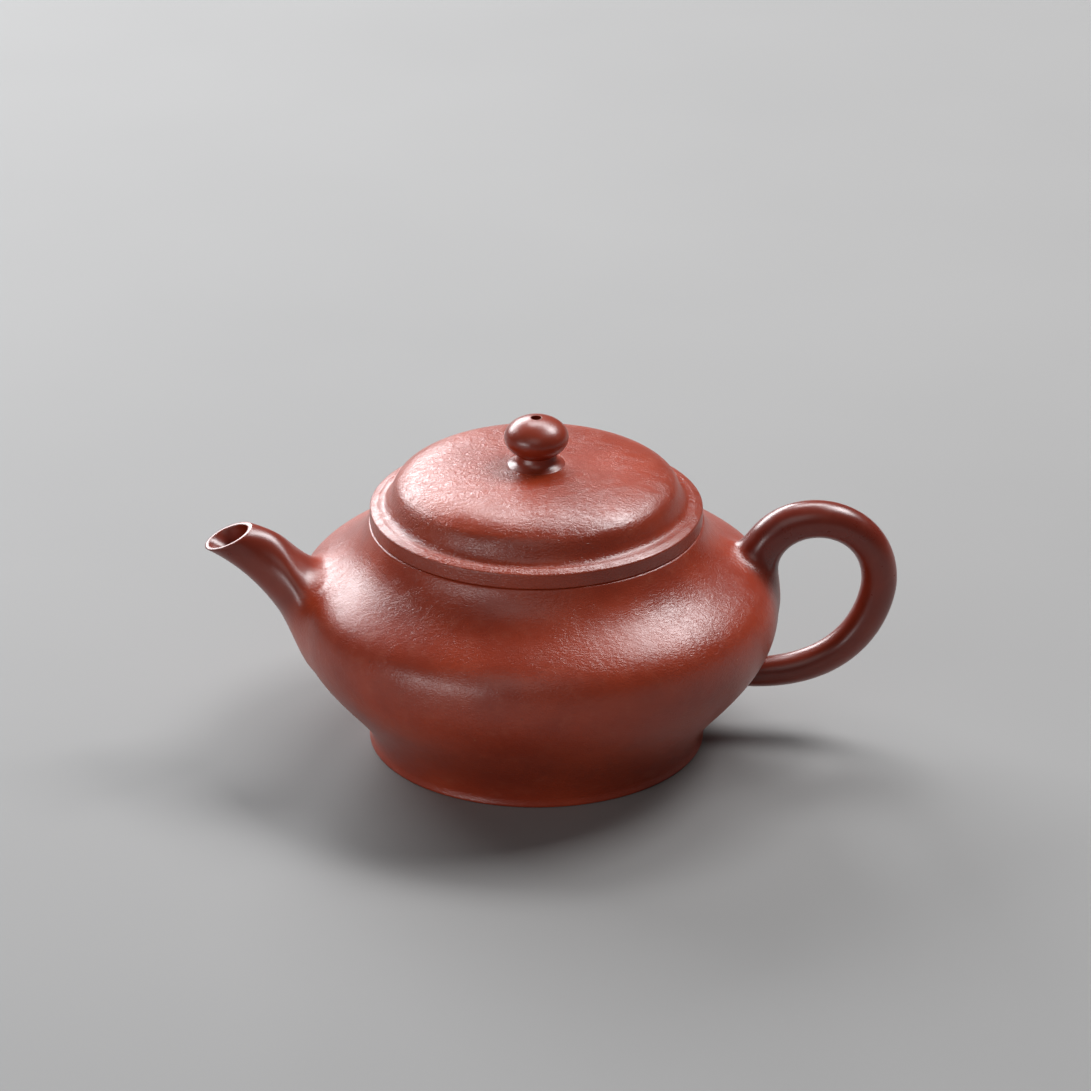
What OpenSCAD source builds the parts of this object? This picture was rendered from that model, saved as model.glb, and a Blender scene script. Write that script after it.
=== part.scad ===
// Round clay teapot: a flattened drum body on a low foot, a short upswept spout, an ear-shaped
// handle and a cushion-domed lid with a vented ball knob.
// Millimetres. Z up, spout towards -X, handle towards +X, origin on the pot's axis at the foot plane.

/* [Body] */
// Widest diameter of the belly
belly_d = 84; // [82:0.5:88]
// Thickness of the body wall
wall = 2.4; // [2:0.1:2.8]
// Height of the base disc's underside above the table
foot_recess = 2.4; // [1.8:0.1:2.8]
// Radius of the mouth's opening
mouth_r = 24.7; // [24:0.1:25]

/* [Lid] */
// Radial play of the lid's flange in the mouth
flange_play = 0.3; // [0.2:0.05:0.5]
// Depth of the flange below the rim
flange_depth = 5.5; // [4:0.5:7]
// Thickness of the flange
flange_wall = 2; // [1.5:0.1:2.4]
// Diameter of the knob
knob_d = 11.1; // [10:0.1:12]
// Diameter of the vent through knob, neck and dome
vent_d = 2; // [1.2:0.1:2.4]

/* [Spout and handle] */
// Thickness of the spout's lip
lip_wall = 0.8; // [0.7:0.1:1.2]
// Thickness of the spout where it meets the body
root_wall = 2.2; // [1.8:0.1:2.4]
// Thickness of the handle at the back of its loop
handle_d = 6.2; // [5.6:0.1:6.6]
// Radius of the pour hole in the belly wall
pour_r = 4; // [3.5:0.1:4.2]

/* [Hidden] */
$fn = 96;
belly_r = belly_d / 2;
rim_z = 40.92;          // top face of the mouth, where the lid rests
foot_r = 29.36;         // outer edge of the foot on the table
foot_in = 26.6;         // inner face of the foot ring
waist = [28.97, 1.2];   // narrowest point just above the foot's edge
belly_z = 24.52;        // height of the widest point
base_top = foot_recess + 2.6;
seam_z = 33.5;          // belly wall to shoulder
ring_z = 38;            // shoulder to mouth ring
edge = 0.3;             // softened arrises
bite = 0.4;             // depth that luted pieces sink into the body wall
under = [waist, [29.5, 8], [belly_r, 14.2], [belly_r, belly_z]];
over = [[belly_r, belly_z], [belly_r, 33.75], [31.7, 32.1], [28.9, rim_z]];

brim_r = 28.7;          // outer edge of the lid
brim_top = 44.2;        // level on which the dome stands
brim_slope = [28.3, 43.72];
flange_r = mouth_r - flange_play;
hollow_r = flange_r - flange_wall;
dome_foot = 26.6;
crown = [5, 51.4];      // flat seat for the knob's neck
dome_turn = [23.3, 48.6];
dome_top = [crown, [13, crown.y], [20.5, 50.8], dome_turn];
dome_side = [dome_turn, [25.2, 47.4], [24.9, 45], [dome_foot, brim_top]];
dome_under = [[hollow_r, brim_top], [hollow_r - 1, 47.3], [13, 48.6], [vent_d / 2, 48.6]];
neck_top = [3.4, 53.25];
neck_flare = 4.9;       // foot of the neck on the dome
knob_z = 56.3;
knob_rise = 3.77;

out = belly_r - 42;     // the spout and handle move out with a wider belly
spout_up = [[-33, 31.8], [-43.94 - out, 34.55], [-40.54 - out, 38.9], [-49 - out, 41.06]];
spout_low = [[-32, 8.8], [-40.6 - out, 11.4], [-40.8 - out, 28.2], [-57.32 - out, 37.52]];
lip_half = 4.15;        // half the mouth's breadth across the spout
flare = 0.95;           // growth of the breadth with the height of each section
handle_rise = [[37.71 + out, 29.5], [39.3 + out, 44.05], [59.6 + out, 42.1], [59.6 + out, 27.72]];
handle_fall = [[59.6 + out, 27.72], [59.6 + out, 24.2], [56.3 + out, 8.1], [34.31 + out, 10.83]];
handle_root_r = 3.75;
handle_tail_r = 2.55;
root_run = 4;           // how far each end of the handle runs on into the wall before trimming
pour_at = [-40.6 - out, 0, 28.4];
pour_tilt = 26;         // the pour hole looks up along the spout
strainer_r = 5.6;
strainer_wall = 1.2;
strainer_hole_r = 0.6;
strainer_rows = [1, 6, 10];
strainer_step = 24;
rings = 24;
sides = 28;

clay = [0.62, 0.27, 0.17];
lid_clay = [0.66, 0.31, 0.22];
trim_clay = [0.52, 0.22, 0.16];

// ---- curves
function bez(p, t) = pow(1 - t, 3) * p[0] + 3 * pow(1 - t, 2) * t * p[1]
                   + 3 * (1 - t) * t * t * p[2] + pow(t, 3) * p[3];
function slope(p, t) = pow(1 - t, 2) * (p[1] - p[0]) + 2 * (1 - t) * t * (p[2] - p[1])
                     + t * t * (p[3] - p[2]);
// a point on the curve moved inward by depth w
function inset(p, w, t) = let (d = slope(p, t), l = norm(d)) bez(p, t) + w / l * [-d.y, d.x];
// the place on the inset curve at height z
function place(p, w, z, a = 0, b = 1, n = 24) = let (m = (a + b) / 2)
    n == 0 ? m : inset(p, w, m).y < z ? place(p, w, z, m, b, n - 1) : place(p, w, z, a, m, n - 1);
function run(p, w, z0, z1, n = 12) = let (a = place(p, w, z0), b = place(p, w, z1))
    [for (i = [0 : n]) inset(p, w, a + (b - a) * i / n)];
function back(v) = [for (i = [len(v) - 1 : -1 : 0]) v[i]];
function body_side(w, z0, z1) = concat(run(under, w, z0, belly_z), run(over, w, belly_z + 0.01, z1));

function dome_arc(r) = [for (i = [0 : 10]) let (a = -90 + 11 * i) [r * cos(a), r * sin(a)]];

module turned(outline) rotate_extrude() polygon(outline);

// ---- sweeps: every section is an ellipse standing in the plane of spout and handle
function section(c, h, b) = [for (k = [0 : sides - 1]) let (u = 360 * k / sides)
    [c.x + h.x * cos(u), b * sin(u), c.y + h.y * cos(u)]];
module sweep(s) {
    n = len(s);
    polyhedron(
        points = [for (r = s) each r],
        faces = concat(
            [[for (k = [0 : sides - 1]) k]],
            [[for (k = [sides - 1 : -1 : 0]) (n - 1) * sides + k]],
            [for (i = [0 : n - 2], k = [0 : sides - 1]) let (j = (k + 1) % sides)
                each [[i * sides + k, (i + 1) * sides + k, (i + 1) * sides + j],
                      [i * sides + k, (i + 1) * sides + j, i * sides + j]]]));
}

lip_h = norm(spout_up[3] - spout_low[3]) / 2;
function spout_section(t, w) = let (u = bez(spout_up, t), l = bez(spout_low, t),
                                    h = norm(u - l) / 2, b = lip_half + flare * (h - lip_h))
    section((u + l) / 2, (u - l) / 2 * (h - w) / h, b - w);
// the bore runs on past the lip, so the cut is clean
lip_out = [-0.6, 1.3];
function raised(s, d) = [for (q = s) q + [d.x, 0, d.y]];

function handle_line(t) = t < 1 ? bez(handle_rise, t) : bez(handle_fall, t - 1);
function handle_dir(t) = let (d = t < 1 ? slope(handle_rise, t) : slope(handle_fall, t - 1)) d / norm(d);
function handle_r(t) = t < 1 ? handle_d / 2 + (handle_root_r - handle_d / 2) * pow(1 - t, 2)
                             : handle_d / 2 + (handle_tail_r - handle_d / 2) * pow(t - 1, 2);
function handle_section(t, on = 0) = let (d = handle_dir(t), r = handle_r(t))
    section(handle_line(t) + on * d, r * [-d.y, d.x], -r);

// everything inside the body's outer skin, less the bite of the luted pieces
module body_core() turned(concat([[0, foot_recess]], body_side(bite, foot_recess, ring_z), [[0, ring_z]]));
module cavity() turned(concat([[0, base_top]], body_side(wall + bite, base_top, seam_z), [[0, seam_z]]));
module along_pour() translate(pour_at) rotate([0, pour_tilt - 90, 0]) children();

// ---- the pot
module base_disc() color(clay)
    turned(concat([[0, foot_recess]], run(under, 0, foot_recess, base_top), [[0, base_top]]));

module foot_ring() color(clay)
    turned(concat([[foot_in + edge, 0], [foot_r - edge, 0], [foot_r, edge]],
                  run(under, 0, waist.y, foot_recess, 4), [[foot_in, foot_recess], [foot_in, edge]]));

module belly_wall() color(clay) difference() {
    turned(concat(body_side(0, base_top, seam_z), back(body_side(wall, base_top, seam_z))));
    along_pour() translate([0, 0, -2 * wall]) cylinder(r = pour_r, h = 4 * wall, $fn = 48);
}

module shoulder_plate() color(clay)
    turned(concat(run(over, 0, seam_z, ring_z), back(run(over, wall, seam_z, ring_z))));

module mouth_ring() color(clay)
    turned(concat([[mouth_r, ring_z]], run(over, 0, ring_z, rim_z - edge, 6),
                  [[28.7, rim_z], [mouth_r + edge, rim_z], [mouth_r, rim_z - edge]]));

module spout() color(trim_clay) difference() {
    sweep([for (i = [0 : rings]) spout_section(i / rings, 0)]);
    sweep(concat([for (i = [0 : rings]) let (t = i / rings) spout_section(t, root_wall + (lip_wall - root_wall) * t)],
                 [raised(spout_section(1, lip_wall), lip_out)]));
    body_core();
}

module handle() color(trim_clay) difference() {
    sweep(concat([handle_section(0, -root_run)], [for (i = [0 : 2 * rings]) handle_section(i / rings)],
                 [handle_section(2, root_run)]));
    body_core();
}

module strainer() color(clay) intersection() {
    cavity();
    along_pour() translate([0, 0, -wall]) difference() {
        turned(concat(dome_arc(strainer_r), back(dome_arc(strainer_r - strainer_wall))));
        for (row = [0 : len(strainer_rows) - 1], k = [0 : strainer_rows[row] - 1])
            rotate([180 - row * strainer_step, 0, 360 * k / strainer_rows[row]])
                cylinder(r = strainer_hole_r, h = strainer_r + 1, $fn = 24);
    }
}

// ---- the lid
module lid_flange() color(lid_clay)
    turned([[hollow_r, rim_z], [hollow_r, rim_z - flange_depth + edge], [hollow_r + edge, rim_z - flange_depth],
            [flange_r - edge, rim_z - flange_depth], [flange_r, rim_z - flange_depth + 2 * edge], [flange_r, rim_z]]);

module lid_brim() color(lid_clay)
    turned([[hollow_r, rim_z], [brim_r - edge, rim_z], [brim_r, rim_z + edge], [brim_r, brim_slope.y - edge],
            [brim_r - 0.12, brim_slope.y - 0.12], brim_slope, [dome_foot, brim_top], [hollow_r, brim_top]]);

module lid_dome() color(lid_clay)
    turned(concat([for (i = [0 : 10]) bez(dome_under, i / 10)], [[vent_d / 2, crown.y]],
                  [for (i = [0 : 12]) bez(dome_top, i / 12)], [for (i = [1 : 10]) bez(dome_side, i / 10)]));

module knob_neck() color(trim_clay)
    turned(concat([[vent_d / 2, crown.y]],
                  [for (i = [0 : 8]) bez([[neck_flare, crown.y], [neck_top.x + 0.35, crown.y + 0.35],
                                          [neck_top.x - 0.1, crown.y + 0.9], neck_top], i / 8)],
                  [[vent_d / 2, neck_top.y]]));

module knob() color(trim_clay) let (low = -asin((knob_z - neck_top.y) / knob_rise), high = acos(vent_d * 1.5 / knob_d))
    turned(concat([[vent_d / 2, neck_top.y]],
                  [for (i = [0 : 20]) let (a = low + (high - low) * i / 20)
                      [knob_d / 2 * cos(a), knob_z + knob_rise * sin(a)]],
                  [[vent_d / 2, knob_z + knob_rise * sin(high) - edge]]));

base_disc();
foot_ring();
belly_wall();
shoulder_plate();
mouth_ring();
spout();
handle();
strainer();
lid_flange();
lid_brim();
lid_dome();
knob_neck();
knob();
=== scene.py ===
import math
import bpy
import numpy as np
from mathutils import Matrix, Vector, noise
from mathutils.bvhtree import BVHTree


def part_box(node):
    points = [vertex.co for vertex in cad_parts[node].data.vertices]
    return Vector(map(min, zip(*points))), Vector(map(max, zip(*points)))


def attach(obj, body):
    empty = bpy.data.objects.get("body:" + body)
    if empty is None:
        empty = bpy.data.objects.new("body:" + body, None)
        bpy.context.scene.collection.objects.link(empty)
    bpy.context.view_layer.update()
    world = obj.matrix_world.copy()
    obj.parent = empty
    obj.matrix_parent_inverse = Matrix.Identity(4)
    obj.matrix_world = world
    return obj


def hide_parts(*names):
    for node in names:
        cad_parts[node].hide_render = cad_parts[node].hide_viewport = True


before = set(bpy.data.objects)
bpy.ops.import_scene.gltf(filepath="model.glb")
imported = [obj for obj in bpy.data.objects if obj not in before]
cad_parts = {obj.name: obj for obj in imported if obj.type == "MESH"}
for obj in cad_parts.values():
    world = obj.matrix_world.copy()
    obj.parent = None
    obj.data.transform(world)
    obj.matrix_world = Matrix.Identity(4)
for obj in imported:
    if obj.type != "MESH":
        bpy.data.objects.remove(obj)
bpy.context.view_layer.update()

# All shaping below is in millimetres; pieces are scaled to metres as they are made.
MM = 1000.0


def low(node):
    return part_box(node)[0] * MM


def high(node):
    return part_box(node)[1] * MM


# ---------------------------------------------------------------- measures from the frame
rim_z = high("mouth_ring").z
belly_r = high("belly_wall").y
foot_r = high("foot_ring").y
base_under = low("base_disc").z
base_top = high("base_disc").z
ring_z = low("mouth_ring").z
brim_r = high("lid_brim").y
brim_top = high("lid_brim").z
crown_z = high("lid_dome").z
flange_low = low("lid_flange").z
flange_r = high("lid_flange").y
knob_r = high("knob").y
knob_top = high("knob").z

# ---------------------------------------------------------------- sizes shared by several pieces
drawn_for_r = 42            # belly radius that the curves of spout and handle were drawn for
out = belly_r - drawn_for_r
mouth_r = flange_r + 0.3    # leaves the flange some play
hollow_r = flange_r - 2.0   # inside of the flange and of the lid's brim
vent_r = 1.03
wall = 2.4
unevenness = 0.12           # deepest dip in a hand-built surface


# ---------------------------------------------------------------- curves
def bezier(p, t):
    p = np.asarray(p, float)
    t = np.atleast_1d(np.asarray(t, float))[:, None]
    return (1 - t) ** 3 * p[0] + 3 * (1 - t) ** 2 * t * p[1] + 3 * (1 - t) * t * t * p[2] + t ** 3 * p[3]


def soften(points, radius, steps=5):
    """Rounds the corners of an open outline. radius is one number a point, 0 leaves it."""
    straight = math.radians(86)
    line = [points[0]]
    for a, b, c, r in zip(points, points[1:], points[2:], radius[1:]):
        a, b, c = (np.asarray(v, float) for v in (a, b, c))
        u, v = (a - b) / np.linalg.norm(a - b), (c - b) / np.linalg.norm(c - b)
        half = math.acos(max(-1, min(1, u @ v))) / 2
        if not r or half > straight:
            line.append(b)
            continue
        cut = min(r / math.tan(half), 0.48 * np.linalg.norm(a - b), 0.48 * np.linalg.norm(c - b))
        p, q = b + u * cut, b + v * cut
        line += [(1 - s) ** 2 * p + 2 * s * (1 - s) * b + s * s * q for s in np.linspace(0, 1, steps + 1)]
    return np.array(line + [points[-1]], float)


def normals_2d(line):
    d = np.gradient(line, axis=0)
    d /= np.linalg.norm(d, axis=1)[:, None]
    return np.stack([-d[:, 1], d[:, 0]], 1)


def ease(s):
    s = np.clip(s, 0, 1)
    return s * s * (3 - 2 * s)


# ---------------------------------------------------------------- meshes
def piece(name, points, faces, material, body, *stands_for, sharp_over=50):
    mesh = bpy.data.meshes.new(name)
    mesh.from_pydata([tuple(p) for p in np.asarray(points) / MM], [], faces)
    mesh.validate()
    mesh.update()
    mesh.shade_smooth()
    mesh.set_sharp_from_angle(angle=math.radians(sharp_over))
    mesh.materials.append(material)
    o = bpy.data.objects.new(name, mesh)
    bpy.context.scene.collection.objects.link(o)
    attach(o, body)
    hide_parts(*stands_for)
    return o


def turn(outline, around, wobble=None, closed=True):
    """Points and faces of a turned piece. A closed outline joins its end to its start, or lies with both
    ends on the axis."""
    on_axis = 1e-6
    points, rings = [], []
    a = np.linspace(0, 2 * np.pi, around, endpoint=False)
    for r, z in np.asarray(outline, float):
        if r < on_axis:
            rings.append([len(points)])
            points.append(np.array([0, 0, z]))
            continue
        ring = np.stack([r * np.cos(a), r * np.sin(a), np.full(around, z)], 1)
        if wobble:
            ring = wobble(ring)
        rings.append(list(range(len(points), len(points) + around)))
        points += list(ring)
    pairs = list(zip(rings, rings[1:]))
    if closed and len(rings[0]) > 1:
        pairs.append((rings[-1], rings[0]))
    faces = []
    for p, q in pairs:
        for i in range(around):
            j = (i + 1) % around
            if len(p) == 1:
                faces.append((p[0], q[j], q[i]))
            elif len(q) == 1:
                faces.append((p[i], p[j], q[0]))
            else:
                faces.append((p[i], p[j], q[j], q[i]))
    return np.array(points), faces


def grid_faces(rows, around, close_rows=False):
    """Faces between rings of points that follow each other."""
    faces = []
    for i in range(rows if close_rows else rows - 1):
        k = (i + 1) % rows
        for j in range(around):
            m = (j + 1) % around
            faces.append((i * around + j, i * around + m, k * around + m, k * around + j))
    return faces


def hand_made(depth, scale, seed):
    """The slight unevenness of a hand-built wall, always inward."""
    def wobble(ring):
        r = np.hypot(ring[:, 0], ring[:, 1])
        shift = np.array([noise.noise(Vector(p) / scale + Vector((seed, 0, 0))) for p in ring])
        keep = 1 - depth * (0.5 + 0.5 * shift.clip(-1, 1)) / r.clip(5)
        return ring * np.stack([keep, keep, np.ones_like(keep)], 1)
    return wobble


# ---------------------------------------------------------------- finishes
class Value:
    """A shader socket that can stand in a sum."""

    def __init__(self, recipe, socket):
        self.recipe = recipe
        self.socket = socket

    def maths(self, operation, *others, clamp=False):
        return self.recipe.node("ShaderNodeMath", {"operation": operation, "use_clamp": clamp},
                                dict(enumerate((self, *others))))

    def __add__(self, o):
        return self.maths("ADD", o)

    def __sub__(self, o):
        return self.maths("SUBTRACT", o)

    def __mul__(self, o):
        return self.maths("MULTIPLY", o)

    def __radd__(self, o):
        return self + o

    def __rmul__(self, o):
        return self * o

    def __rsub__(self, o):
        return self.recipe.node("ShaderNodeMath", {"operation": "SUBTRACT"}, {0: o, 1: self})

    def clamp(self):
        return self.maths("ADD", 0.0, clamp=True)


class Recipe:
    """One material and the nodes it is mixed from."""

    def __init__(self, name):
        self.material = bpy.data.materials.new(name)
        self.material.use_nodes = True
        self.tree = self.material.node_tree
        self.tree.nodes.clear()

    def node(self, kind, settings=None, sockets=None, output=0):
        n = self.tree.nodes.new(kind)
        for key, v in (settings or {}).items():
            setattr(n, key, v)
        for key, v in (sockets or {}).items():
            if isinstance(v, Value):
                self.tree.links.new(v.socket, n.inputs[key])
            else:
                n.inputs[key].default_value = v
        return Value(self, n.outputs[output]) if len(n.outputs) else None

    def blend(self, share, a, b, mode="MIX"):
        return self.node("ShaderNodeMix", {"data_type": "RGBA", "blend_type": mode},
                         {0: share, 6: a, 7: b}, output=2)

    def steps(self, value, a, b):
        return self.node("ShaderNodeMapRange", {"interpolation_type": "SMOOTHSTEP"},
                         {0: value, 1: a, 2: b, 3: 0.0, 4: 1.0})

    def noise(self, where, scale, detail=3.0, rough=0.55, warp=0.0, output=0):
        return self.node("ShaderNodeTexNoise", {"noise_type": "FBM"},
                         {"Vector": where, "Scale": scale, "Detail": detail, "Roughness": rough,
                          "Distortion": warp}, output=output)

    def surface(self, **sockets):
        named = {key.replace("_", " "): v for key, v in sockets.items()}
        shader = self.node("ShaderNodeBsdfPrincipled", sockets=named)
        self.node("ShaderNodeOutputMaterial", sockets={"Surface": shader})
        return self.material


def clay(name, deep, warm, pale, crepe, sheen_rough):
    """Burnished unglazed clay. deep, warm and pale are its colours, crepe is the depth of its skin's creases
    in millimetres and sheen_rough its mean roughness. The attribute 'worked' is 1 where fingers smoothed
    it."""
    # darkening for worked clay: partly its own tone, partly painted shade on spout, handle and knob
    worked_tone_and_shade = (0.52, 0.47, 0.58, 1)
    pale_sand = (0.62, 0.32, 0.18, 1)
    dark_grit = (0.07, 0.02, 0.012, 1)
    grains_per_metre = 400.0
    r = Recipe(name)
    at = r.node("ShaderNodeTexCoord", output=3)
    worked = r.node("ShaderNodeAttribute", {"attribute_name": "worked"}, output=2)
    raw = 1.0 - worked
    # creases: short strokes that wander over the skin, deeper in some patches than in others
    wander = r.noise(at, 420.0, 2.0, 0.5, output=1)
    bent = r.node("ShaderNodeVectorMath", {"operation": "MULTIPLY_ADD"},
                  {0: wander, 1: (0.0024, 0.0024, 0.0012), 2: at})
    strokes = r.node("ShaderNodeMapping", {"vector_type": "POINT"},
                     {"Vector": bent, "Rotation": (0.0, 0.35, 0.4), "Scale": (0.75, 1.55, 1.9)})
    fine = r.noise(strokes, 1750.0, 2.5, 0.6, 0.5)
    coarse = r.noise(strokes, 640.0, 2.0, 0.5, 0.8)
    patch = r.steps(r.noise(at, 85.0, 2.0, 0.5), 0.3, 0.62)
    crease = (fine * 0.8 + coarse * 0.5) * (0.4 + 0.6 * patch)
    # colour: slow drifts, painted shade in the creases, and smoother and darker where it was worked; that
    # darkening is partly the clay's own tone and partly painted shade
    drift = r.noise(at, 38.0, 4.0, 0.6)
    mottle = r.noise(at, 420.0, 3.0, 0.6)
    colour = r.blend(r.steps(drift, 0.32, 0.7), deep, warm)
    colour = r.blend(r.steps(mottle, 0.5, 0.78) * 0.20, colour, pale)
    # painted shade: the deep colour laid into the creases of the raw skin
    colour = r.blend((1.0 - r.steps(fine, 0.28, 0.5)) * 0.30 * raw, colour, deep)
    # worked clay made darker: partly its own tone, partly painted shade
    colour = r.blend(worked * 0.85, colour, r.blend(1.0, colour, worked_tone_and_shade, "MULTIPLY"))
    # specks: a few pale and a few dark grains of sand
    grains = {"Vector": at, "Scale": grains_per_metre, "Randomness": 1.0}
    cell = r.node("ShaderNodeTexVoronoi", {"feature": "F1"}, grains)
    lot = r.node("ShaderNodeSeparateColor",
                 sockets={0: r.node("ShaderNodeTexVoronoi", {"feature": "F1"}, grains, output=1)})
    speck = (1.0 - r.steps(cell, 0.04, 0.075)) * r.steps(lot, 0.90, 0.93)
    dark_speck = (1.0 - r.steps(cell, 0.05, 0.09)) * (1.0 - r.steps(lot, 0.05, 0.07))
    colour = r.blend(speck * 0.40, colour, pale_sand)
    colour = r.blend(dark_speck * 0.40 * raw, colour, dark_grit)
    rough = sheen_rough + (mottle - 0.5) * 0.14 + (drift - 0.5) * 0.10 - 0.04 * worked
    # height in millimetres: creases, the dents of the tools, the clay's grain, the pale specks
    dents = r.noise(at, 190.0, 2.0, 0.5)
    grain = r.noise(at, 3600.0, 2.0, 0.6)
    height = crease * raw * crepe + dents * 0.05 + grain * 0.006 + speck * 0.010
    bump = r.node("ShaderNodeBump", sockets={"Strength": 1.0, "Distance": 1 / MM, "Height": height})
    return r.surface(Base_Color=colour, Roughness=rough.clamp(), Normal=bump,
                     IOR=1.5, Specular_IOR_Level=0.75)


red_clay = {"deep": (0.275, 0.026, 0.006, 1), "warm": (0.400, 0.044, 0.010, 1),
            "pale": (0.46, 0.11, 0.055, 1), "crepe": 0.105, "sheen_rough": 0.34}
body_clay = clay("body_clay", **red_clay)
lid_clay = clay("lid_clay", deep=(0.250, 0.026, 0.007, 1), warm=(0.360, 0.042, 0.011, 1),
                pale=(0.43, 0.11, 0.06, 1), crepe=0.15, sheen_rough=0.31)
trim_clay = clay("trim_clay", **red_clay)


# ---------------------------------------------------------------- the pot's wall
def wall_outlines():
    """Outline of the whole wall from the middle of its underside to the middle of its floor, and of its
    outer skin alone."""
    belly_z = 24.52
    tread_r = 27.6             # middle of the ring the pot stands on
    recess_r = 26.3            # inside of that ring, under the base
    centre_r = 20              # inside this, floor and underside are flat
    waist = (28.97, 1.2)       # corner where the foot meets the wall
    under = [waist, (29.5, 8), (belly_r, 14.2), (belly_r, belly_z)]
    over = [(belly_r, belly_z), (belly_r, 33.75), (31.7, 32.1), (28.9, rim_z)]
    t = np.linspace(0, 1, 46)
    outer = np.vstack([bezier(under, t), bezier(over, t[1:])])
    foot_edge = soften([(tread_r, 0), (foot_r, 0), waist, (29.0, 1.5)], [0, 0.5, 0, 0])[1:-2]
    skin = np.vstack([foot_edge, outer])
    inner = outer + wall * normals_2d(outer)
    inner = inner[(inner[:, 1] > base_top + 1.2) & (inner[:, 1] < ring_z - 0.6)][::-1]
    rim = soften([outer[-2], (28.82, rim_z), (mouth_r, rim_z), (mouth_r, ring_z - 0.4),
                  (27.4, ring_z - 0.7), inner[0]],
                 [0, 0.45, 0.4, 0.5, 0.5, 0])[1:-1]
    floor_in = soften([inner[-1], (inner[-1][0] - 1.6, base_top), (centre_r, base_top), (0, base_top)],
                      [0, 2.5, 0, 0], 8)[1:]
    under_foot = soften([(0, base_under), (centre_r, base_under), (recess_r, base_under),
                         (recess_r + 0.4, 0), (tread_r, 0)],
                        [0, 0, 0.7, 0.5, 0])
    return np.vstack([under_foot, skin[:-1], rim, inner, floor_in]), skin


around_pot = 288
uneven = hand_made(unevenness, scale=26.0, seed=3.7)
wall_line, skin_line = wall_outlines()
points, faces = turn(wall_line, around_pot, uneven)
pot_wall = piece("pot_wall", points, faces, body_clay, "pot",
                 "belly_wall", "base_disc", "foot_ring", "shoulder_plate", "mouth_ring")


# ---------------------------------------------------------------- luting a drawn piece to the wall
def skin_tree(points, faces):
    return BVHTree.FromPolygons([Vector(p) for p in points], faces)


wall_skin = skin_tree(*turn(skin_line, around_pot, uneven, closed=False))


def height_over(tree, p):
    """Signed distance of p over a skin, and the way up from it."""
    touching = 1e-3
    near, normal, _, distance = tree.find_nearest(Vector(p))
    away = np.array(p) - np.array(near)
    up = np.array(normal)
    side = 1.0 if away @ up >= 0 else -1.0
    if distance > touching:
        up = side * away / distance
    return side * distance, up


def sunken(row, depth):
    """A copy of a ring of points, sunk into the wall."""
    return np.array([[p - depth * height_over(wall_skin, p)[1] for p in row]])


def melt(a, b, reach):
    """Lowest of two heights with the corner between them filled, and how much of it is the first one's."""
    m = max(reach - abs(a - b), 0) / reach
    share = 0.5 * m * m
    return min(a, b) - m ** 3 * reach / 6, (share if a > b else 1 - share)


def settle(p, tree, reach, times):
    """Moves a point onto the melted skin of the wall and the piece."""
    for _ in range(times):
        over_wall, up_wall = height_over(wall_skin, p)
        over_piece, up_piece = height_over(tree, p)
        height, share = melt(over_wall, over_piece, reach(p))
        slope = share * up_wall + (1 - share) * up_piece
        p = p - height * slope / max(slope @ slope, 0.2)
    return p


def walk_out(foot, middle, tree, reach):
    """Points over the wall's skin, from where the piece meets it to where its fillet runs out."""
    stride, most_strides, run_out = 0.12, 120, 0.86
    walk, p = [foot], foot.copy()
    for _ in range(most_strides):
        side, away = height_over(tree, p)
        if side > run_out * reach(p):
            break
        _, up = height_over(wall_skin, p)
        step = away - (away @ up) * up
        length = np.linalg.norm(step)
        if length < 1e-3:
            step = p - middle
            step -= (step @ up) * up
            length = np.linalg.norm(step)
        p = p + step / length * stride
        over_wall, up = height_over(wall_skin, p)
        p = p - over_wall * up
        walk.append(p.copy())
    return walk


def spread(path, count):
    """The same path with its points evenly apart."""
    run = np.concatenate([[0], np.cumsum(np.linalg.norm(np.diff(path, axis=0), axis=1))])
    at = np.linspace(0, run[-1], count)
    return np.stack([np.interp(at, run, path[:, k]) for k in range(3)], 1)


def lute(rows, tree, reach):
    """Joins a drawn piece to the wall. rows run from inside the wall outwards, one ring of points each, and
    reach gives the size of the fillet at a place. Returns new rows that start on the wall's skin, rise
    through a worked fillet and go on as the piece."""
    fillet_rows, settling, easings = 27, 12, 6
    rows = np.asarray(rows)
    count, around = rows.shape[:2]
    on_wall = np.array([[height_over(wall_skin, p)[0] for p in ring] for ring in rows])
    feet, clear = [], 0
    for j in range(around):
        h = on_wall[:, j]
        inside = np.where(h < 0)[0].max()
        f = h[inside] / (h[inside] - h[inside + 1])
        feet.append((inside + 1, rows[inside, j] * (1 - f) + rows[inside + 1, j] * f))
        past = h[inside + 1:] > max(reach(p) for p in rows[inside:, j])
        clear = max(clear, inside + 1 + int(np.argmax(past)) if past.any() else count - 1)
    fillet = []
    for j, (first, foot) in enumerate(feet):
        own = rows[first:clear + 1, j]
        walk = walk_out(foot, own.mean(0), tree, reach)
        path = spread(np.vstack([np.array(walk)[::-1], own]), fillet_rows)
        fillet.append([settle(p, tree, reach, settling) for p in path])
    fillet = np.array(fillet).transpose(1, 0, 2)
    # ease the rows along and around, then settle them on the melted skin again
    for _ in range(easings):
        mid = fillet.copy()
        mid[1:-1] = 0.5 * fillet[1:-1] + 0.25 * (fillet[:-2] + fillet[2:])
        mid[1:-1] = 0.5 * mid[1:-1] + 0.25 * (np.roll(mid[1:-1], 1, 1) + np.roll(mid[1:-1], -1, 1))
        for ring in mid[1:-1]:
            ring[:] = [settle(p, tree, reach, 3) for p in ring]
        fillet = mid
    return np.vstack([sunken(fillet[0], 0.02), fillet[1:], rows[clear + 1:]])


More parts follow.
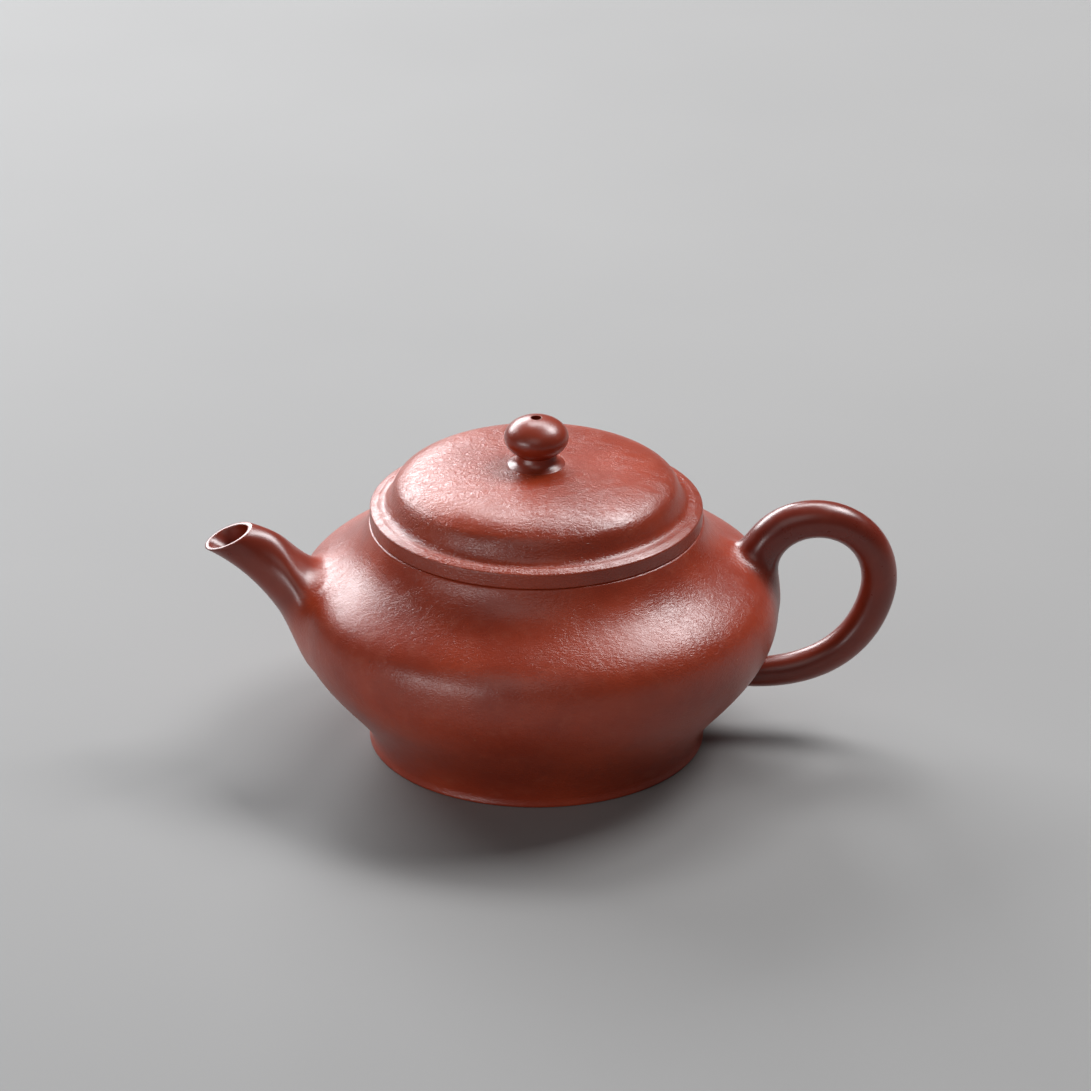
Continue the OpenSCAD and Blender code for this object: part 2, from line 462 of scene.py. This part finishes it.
def section(centre, half, breadth, around):
    """An ellipse standing in the plane of spout and handle."""
    a = np.linspace(0, 2 * np.pi, around, endpoint=False)
    along, across = np.cos(a), np.sin(a)
    return np.stack([centre[0] + half[0] * along, breadth * across, centre[1] + half[1] * along], 1)


def mark_worked(o, share):
    """Marks how far fingers smoothed each point, for the finish."""
    mark = o.data.attributes.new("worked", "FLOAT", "POINT")
    mark.data.foreach_set("value", share)


def worked_by_height(o, raw_under, worked_over):
    """Raw clay close over the wall, worked clay further out."""
    h = np.array([height_over(wall_skin, np.array(v.co) * MM)[0] for v in o.data.vertices])
    mark_worked(o, ease((h - raw_under) / (worked_over - raw_under)))


# ---------------------------------------------------------------- the spout
around_spout = 72
lip_at = 0.992              # where along the spout its lip begins to roll over
root_wall = 2.2
lip_wall = 0.85
pour_at = (-40.6 - out, 28.4)
spout_up = [(-33, 31.8), (-43.94 - out, 34.55), (-40.54 - out, 38.9), (-49 - out, 41.06)]
spout_low = [(-32, 8.8), (-40.6 - out, 11.4), (-40.8 - out, 28.2), (-57.32 - out, 37.52)]
lip_h = np.linalg.norm(np.subtract(spout_up[3], spout_low[3])) / 2


def spout_ring(t, inward=0.0):
    """The ring of the spout at t along it, from its root to its lip."""
    lip_breadth, flare = 4.15, 0.95
    u, l = bezier(spout_up, t)[0], bezier(spout_low, t)[0]
    h = np.linalg.norm(u - l) / 2
    breadth = lip_breadth + flare * (h - lip_h) - inward
    return section((u + l) / 2, (u - l) / 2 * (h - inward) / h, breadth, around_spout)


def bore_ring(t):
    return spout_ring(t, root_wall + (lip_wall - root_wall) * t)


def spout_reach(p):
    """The fillet is wide under the spout and tight over it."""
    wide, tight_by, from_z, over_height = 4.2, 1.4, 26, 8
    return wide - tight_by * ease((p[2] - from_z) / over_height)


def spout_rows():
    """Rings of the spout: outside from the wall to the lip, over the lip, and back down the bore."""
    lead, deepest_bore, hidden_root = 6, -8, 1.2
    drawn = [spout_ring(t) for t in np.linspace(0, lip_at, 60)]
    drawn = np.array([spout_ring(0) + np.array([lead, 0, 0])] + drawn)
    tree = skin_tree(drawn.reshape(-1, 3), grid_faces(len(drawn), around_spout))
    skin = lute(drawn, tree, spout_reach)
    roll = np.array([spout_ring(lip_at), spout_ring(1), bore_ring(1), bore_ring(lip_at)])
    lip = [(1 - k) ** 3 * roll[0] + 3 * (1 - k) ** 2 * k * roll[1] + 3 * (1 - k) * k * k * roll[2]
           + k ** 3 * roll[3] for k in np.linspace(0, 1, 10)[1:]]
    bore = [bore_ring(t) for t in np.linspace(0.975, 0, 38)]
    bore = np.array([ring for ring in bore if min(height_over(wall_skin, p)[0] for p in ring) > deepest_bore])
    return np.vstack([sunken(skin[0], hidden_root), skin, lip, bore])


rows = spout_rows()
spout = piece("spout_drawn", rows.reshape(-1, 3), grid_faces(len(rows), around_spout, True), trim_clay, "pot",
              "spout")
worked_by_height(spout, 0.3, 3.0)

# ---------------------------------------------------------------- the handle
around_handle = 56
handle_rise = [(37.71 + out, 29.5), (39.3 + out, 44.05), (59.6 + out, 42.1), (59.6 + out, 27.72)]
handle_fall = [(59.6 + out, 27.72), (59.6 + out, 24.2), (56.3 + out, 8.1), (34.31 + out, 10.83)]


def handle_line():
    """The handle's middle line, with a lead into the wall at both ends, and its half thickness there."""
    back_half, root_gain, tail_loss = 3.1, 0.65, 0.55
    root_lead, tail_lead = 4, 5
    t = np.linspace(0, 1, 60)
    line = np.vstack([bezier(handle_rise, t), bezier(handle_fall, t)[1:]])
    root, tail = line[1] - line[0], line[-1] - line[-2]
    line = np.vstack([line[0] - root_lead * root / np.linalg.norm(root), line,
                      line[-1] + tail_lead * tail / np.linalg.norm(tail)])
    swell = np.concatenate([[1.0], (1 - t) ** 2, -t[1:] ** 2, [-1.0]])
    return line, np.where(swell > 0, back_half + root_gain * swell, back_half + tail_loss * swell)


def handle_rows():
    """Rings of the handle from its upper root to its tail, both ends sunk into the wall."""
    root_reach, tail_reach, hidden_end = 5.2, 2.2, 1.0
    line, half = handle_line()
    drawn = np.array([section(c, n * r, -r, around_handle) for c, n, r in zip(line, normals_2d(line), half)])
    tree = skin_tree(drawn.reshape(-1, 3), grid_faces(len(drawn), around_handle))
    middle = len(drawn) // 2
    upper = lute(drawn[:middle + 1], tree, lambda p: root_reach)
    lower = lute(drawn[middle:][::-1], tree, lambda p: tail_reach)[::-1]
    return np.vstack([sunken(upper[0], hidden_end), upper, lower[1:], sunken(lower[-1], hidden_end)])


def capped(rows):
    """Points and faces of a row of rings with a fan over each end."""
    around = rows.shape[1]
    points = np.vstack([rows.reshape(-1, 3), rows[0].mean(0)[None], rows[-1].mean(0)[None]])
    first_pole, last_pole = len(points) - 2, len(points) - 1
    last_ring = first_pole - around
    faces = grid_faces(len(rows), around)
    faces += [(first_pole, (j + 1) % around, j) for j in range(around)]
    faces += [(last_pole, last_ring + j, last_ring + (j + 1) % around) for j in range(around)]
    return points, faces


points, faces = capped(handle_rows())
handle = piece("handle_drawn", points, faces, trim_clay, "pot", "handle")
worked_by_height(handle, 0.15, 2.4)


# ---------------------------------------------------------------- the pour hole, behind the spout
def cut_pour_hole(radius, depth, tilt):
    bpy.ops.mesh.primitive_cylinder_add(vertices=48, radius=radius / MM, depth=depth / MM,
                                        location=(pour_at[0] / MM, 0, pour_at[1] / MM),
                                        rotation=(0, math.radians(tilt - 90), 0))
    cutter = bpy.context.object
    cut = pot_wall.modifiers.new("pour_hole", "BOOLEAN")
    cut.object = cutter
    cut.operation = "DIFFERENCE"
    cut.solver = "EXACT"
    bpy.context.view_layer.objects.active = pot_wall
    bpy.ops.object.modifier_apply(modifier="pour_hole")
    bpy.data.objects.remove(cutter)


cut_pour_hole(radius=4, depth=9.6, tilt=26)


# ---------------------------------------------------------------- the lid
def lid_outline():
    """Outline of the lid from the vent over the dome and the brim to the hollow beneath."""
    hollow_z = 48.6
    under_r = 27.2               # where the brim's underside turns flat
    dome_turn = (23.3, 48.6)     # where the dome's top rolls over into its side
    dome_foot = (26.35, 44.12)   # where its side runs out on the brim
    dome_top = bezier([(vent_r + 0.35, crown_z), (13, crown_z - 0.02), (20.5, 50.8), dome_turn],
                      np.linspace(0, 1, 40))
    dome_side = bezier([dome_turn, (25.2, 47.4), (24.8, 44.9), dome_foot], np.linspace(0, 1, 26))
    brim = soften([dome_foot, (27.4, 44.1), (brim_r, 43.6), (brim_r, rim_z), (under_r, rim_z)],
                  [0, 1.2, 0.5, 0.35, 0], 6)[1:]
    hollow = bezier([(hollow_r, brim_top), (hollow_r - 1, 47.3), (13, hollow_z), (vent_r, hollow_z)],
                    np.linspace(0, 1, 24))
    below = soften([(under_r, rim_z), (hollow_r + 0.02, rim_z), (hollow_r, brim_top - 0.6), hollow[0]],
                   [0, 0.2, 0.6, 0])[1:-1]
    return np.vstack([dome_top, dome_side[1:], brim, below, hollow, [(vent_r, crown_z - 0.3)]])[::-1]


points, faces = turn(lid_outline(), 256, hand_made(unevenness, scale=21.0, seed=9.1))
piece("lid_shell", points, faces, lid_clay, "lid", "lid_dome", "lid_brim")

flange_line = soften([(hollow_r, rim_z - 1.5), (hollow_r, rim_z), (flange_r, rim_z), (flange_r, flange_low),
                      (hollow_r, flange_low), (hollow_r, rim_z - 1.4)],
                     [0, 0.02, 0.02, 0.7, 0.5, 0])[:-1]
points, faces = turn(flange_line[::-1], 192)
piece("flange_ring", points, faces, lid_clay, "flange", "lid_flange")


# ---------------------------------------------------------------- the knob
def knob_outline():
    """Outline of the ball, the vent down through it and the neck that it stands on."""
    ball_z = 56.3                            # height of the ball's widest ring
    ball_half = knob_top - ball_z + 0.03
    meets_neck_z = 53.3
    vent_edge = 80.5                         # degrees up the ball
    neck = bezier([(4.95, crown_z - 0.03), (4.35, crown_z + 0.3), (3.5, crown_z + 0.55), (3.42, 53.15)],
                  np.linspace(0, 1, 14))
    start = -math.degrees(math.asin((ball_z - meets_neck_z) / ball_half))
    a = np.radians(np.linspace(start, vent_edge, 44))
    ball = np.stack([knob_r * np.cos(a), ball_z + ball_half * np.sin(a)], 1)
    throat = soften([neck[-2], (3.3, 53.28), ball[2]], [0, 0.35, 0])[1:-1]
    vent = soften([ball[-1], (vent_r, ball[-1][1] + 0.02), (vent_r, crown_z - 0.1)], [0, 0.25, 0])[1:]
    return np.vstack([neck[:-1], throat, ball[2:], vent, [(5.0, crown_z - 0.2)]])[::-1]


points, faces = turn(knob_outline(), 128)
knob = piece("knob_drawn", points, faces, trim_clay, "lid", "knob", "knob_neck")
# the knob counts as mostly worked clay: smoother, and darker partly as painted shade
mark_worked(knob, np.full(len(knob.data.vertices), 0.8))

# ---------------------------------------------------------------- the strainer, in the frame's own shape
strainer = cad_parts["strainer"]
strainer.data.materials.clear()
strainer.data.materials.append(body_clay)


# ---------------------------------------------------------------- table, light and view (metres from here on)
def pale_ground():
    r = Recipe("pale_ground")
    at = r.node("ShaderNodeTexCoord", output=3)
    drift = r.noise(at, 6.0, 3.0, 0.6)
    colour = r.blend(drift, (0.22, 0.217, 0.212, 1), (0.26, 0.256, 0.25, 1))
    return r.surface(Base_Color=colour, Roughness=0.7)


bpy.ops.mesh.primitive_plane_add(size=12, location=(0, 0, 0))
ground = bpy.context.object
ground.name = "ground"
ground.data.materials.append(pale_ground())


def soft_box(name, place, aim_z, size, power, colour):
    """A lamp of the given width and height that faces the pot's axis at the height aim_z."""
    light = bpy.data.lights.new(name, "AREA")
    light.shape = "RECTANGLE"
    light.size, light.size_y = size
    light.energy = power
    light.color = colour
    o = bpy.data.objects.new(name, light)
    o.location = place
    o.rotation_euler = (Vector((0, 0, aim_z)) - Vector(place)).to_track_quat("-Z", "Y").to_euler()
    bpy.context.scene.collection.objects.link(o)


soft_box("sky_back_left", (-0.44, 0.86, 0.50), 0.04, (0.86, 0.38), 14.0, (0.95, 0.97, 1.0))
soft_box("sky_above_back", (0.10, 0.52, 0.80), 0.03, (0.50, 0.22), 4.2, (0.97, 0.98, 1.0))
soft_box("sky_right", (0.50, 0.26, 0.78), 0.03, (0.42, 0.34), 7.0, (0.98, 0.98, 1.0))
soft_box("low_left", (-0.80, -0.70, 0.22), 0.03, (0.62, 0.16), 2.8, (0.98, 0.98, 1.0))
soft_box("front_fill", (-0.25, -1.0, 0.95), 0.03, (0.9, 0.7), 1.5, (1.0, 0.98, 0.96))
world = bpy.data.worlds.new("room")
world.use_nodes = True
background = world.node_tree.nodes["Background"]
background.inputs["Color"].default_value = (0.80, 0.82, 0.85, 1)
background.inputs["Strength"].default_value = 0.10
bpy.context.scene.world = world
bpy.context.scene.view_settings.view_transform = "Standard"


def stand_camera(lift, turned, away, aim_right, aim_z):
    """Places the camera at the angles lift and turned, in degrees, looking at a point beside the axis."""
    lift, turned = math.radians(lift), math.radians(turned)
    back = Vector((-math.sin(turned) * math.cos(lift), -math.cos(turned) * math.cos(lift), math.sin(lift)))
    aim = Vector((aim_right * math.cos(turned), -aim_right * math.sin(turned), aim_z))
    camera = bpy.data.objects.new("camera", bpy.data.cameras.new("camera"))
    camera.data.lens = 191.4
    camera.data.sensor_width = 36.0
    camera.data.clip_start = 0.05
    camera.location = aim + back * away
    camera.rotation_euler = back.to_track_quat("Z", "Y").to_euler()
    bpy.context.scene.collection.objects.link(camera)
    return camera


bpy.context.scene.camera = stand_camera(lift=24.84, turned=3.6, away=1.0, aim_right=0.00157, aim_z=0.03586)
